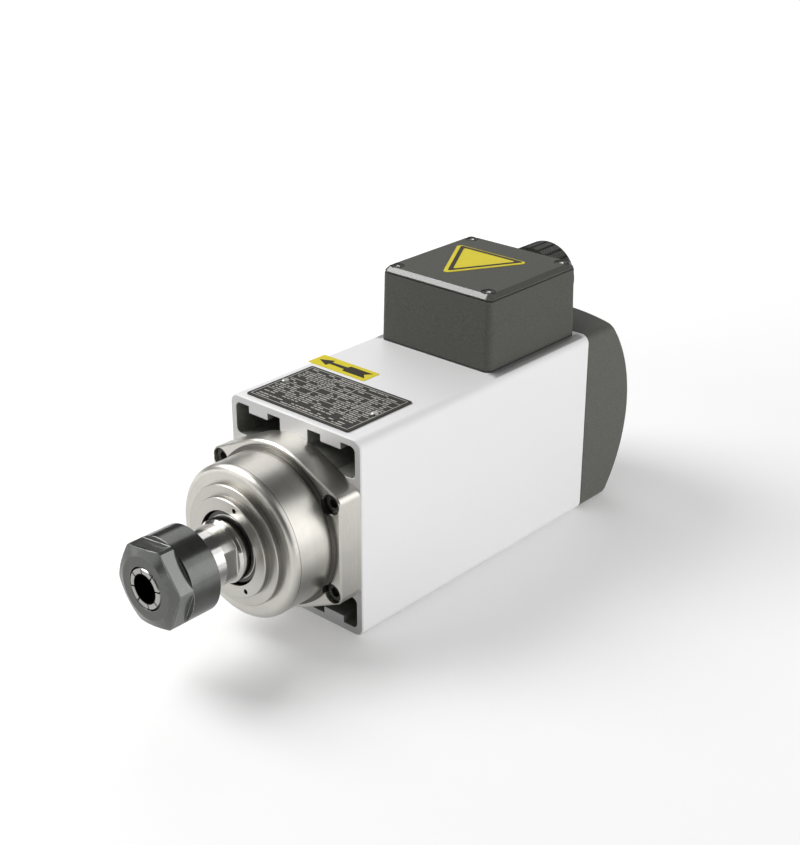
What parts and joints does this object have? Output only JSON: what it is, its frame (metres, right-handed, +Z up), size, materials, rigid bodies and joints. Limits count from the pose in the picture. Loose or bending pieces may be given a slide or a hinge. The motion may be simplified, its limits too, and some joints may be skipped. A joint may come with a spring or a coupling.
{
  "type": "motor spindle",
  "caption": "Air-cooled motor spindle with a finned-channel body, flanged steel nose, collet chuck, domed fan cover and terminal box on top.",
  "frame": {"origin": "centre of the body's bottom face, on which the spindle is bolted down", "axes": "+Z up, away from the resting face; the spindle axis lies along Y, 54 mm up, with the nose and collet towards -Y and the fan cover towards +Y; +X completes the frame"},
  "size_m": [0.09, 0.3333, 0.1503],
  "materials": {
    "body_coating": "satin light grey coating on extruded aluminium",
    "turned_steel": "turned and ground, bright",
    "ground_steel": "ground and polished, bright",
    "bearing_steel": "ground",
    "collet_steel": "fine ground",
    "black_oxide": "black oxide, worn bright on the edges",
    "black_screw": "black oxide",
    "zinc_screw": "zinc plated",
    "spring_steel": "dark spring temper",
    "brass": "machined",
    "cast_aluminium": "as cast, faces machined",
    "plate_aluminium": "black anodised with a bright border",
    "lamination_steel": "stacked laminations",
    "copper_winding": "enamelled wire, varnished",
    "cover_plastic": "black, fine grain",
    "gland_plastic": "black, smooth",
    "fan_plastic": "black, smooth",
    "seal_rubber": "matt",
    "yellow_label": "printed film"
  },
  "bodies": {
    "motor": {"motor_body": "body_coating", "front_housing": "turned_steel", "front_housing_screws": "black_screw", "front_bearing_cap": "turned_steel", "front_bearing_outer_rings": "bearing_steel", "rear_end_shield": "cast_aluminium", "rear_shield_screws": "black_screw", "rear_bearing_outer_ring": "bearing_steel", "preload_spring": "spring_steel", "stator_core": "lamination_steel", "stator_windings": "copper_winding", "fan_cover": "cover_plastic", "fan_cover_screws": "black_screw", "box_gasket": "seal_rubber", "terminal_box": "cover_plastic", "terminal_box_screws": "zinc_screw", "terminal_block": "fan_plastic", "terminal_studs": "brass", "terminal_links": "brass", "terminal_nuts": "brass", "lid_gasket": "seal_rubber", "terminal_lid": "cover_plastic", "lid_screws": "zinc_screw", "gland_body": "gland_plastic", "gland_locknut": "gland_plastic", "gland_seal": "seal_rubber", "gland_nut": "gland_plastic", "nameplate": "plate_aluminium", "nameplate_rivets": "zinc_screw", "arrow_label": "yellow_label", "lid_label": "yellow_label"},
    "spindle": {"spindle_shaft": "ground_steel", "front_bearing_inner_rings": "bearing_steel", "bearing_lock_nut": "black_oxide", "rotor_core": "lamination_steel", "rotor_end_rings": "cast_aluminium", "rear_bearing_inner_ring": "bearing_steel", "cooling_fan": "fan_plastic", "fan_circlip": "spring_steel"},
    "front_ball_set": {"front_bearing_balls": "bearing_steel", "front_bearing_cages": "brass"},
    "rear_ball_set": {"rear_bearing_balls": "bearing_steel", "rear_bearing_cage": "brass"},
    "collet_body": {"collet": "collet_steel"},
    "nut_body": {"collet_nut": "black_oxide"}
  },
  "joints": [
    {"name": "spindle_spin", "type": "hinge", "parent": "motor", "child": "spindle", "pos_m": [0, -0.1, 0.054], "axis": [0, 1, 0], "continuous": true},
    {"name": "front_ball_spin", "type": "hinge", "parent": "motor", "child": "front_ball_set", "pos_m": [0, -0.1125, 0.054], "axis": [0, 1, 0], "continuous": true},
    {"name": "rear_ball_spin", "type": "hinge", "parent": "motor", "child": "rear_ball_set", "pos_m": [0, 0.069, 0.054], "axis": [0, 1, 0], "continuous": true},
    {"name": "collet_slide", "type": "slide", "parent": "spindle", "child": "collet_body", "axis": [0, -1, 0], "range_m": [0, 0.0045]},
    {"name": "nut_turn", "type": "hinge", "parent": "collet_body", "child": "nut_body", "pos_m": [0, -0.176, 0.054], "axis": [0, 1, 0], "range_deg": [0, 1080]}
  ],
  "couplings": [
    {"joint": "front_ball_spin", "follows": "spindle_spin", "ratio": 0.3965},
    {"joint": "rear_ball_spin", "follows": "spindle_spin", "ratio": 0.3815},
    {"joint": "collet_slide", "follows": "nut_turn", "m_per_rad": 0.00023873}
  ]
}
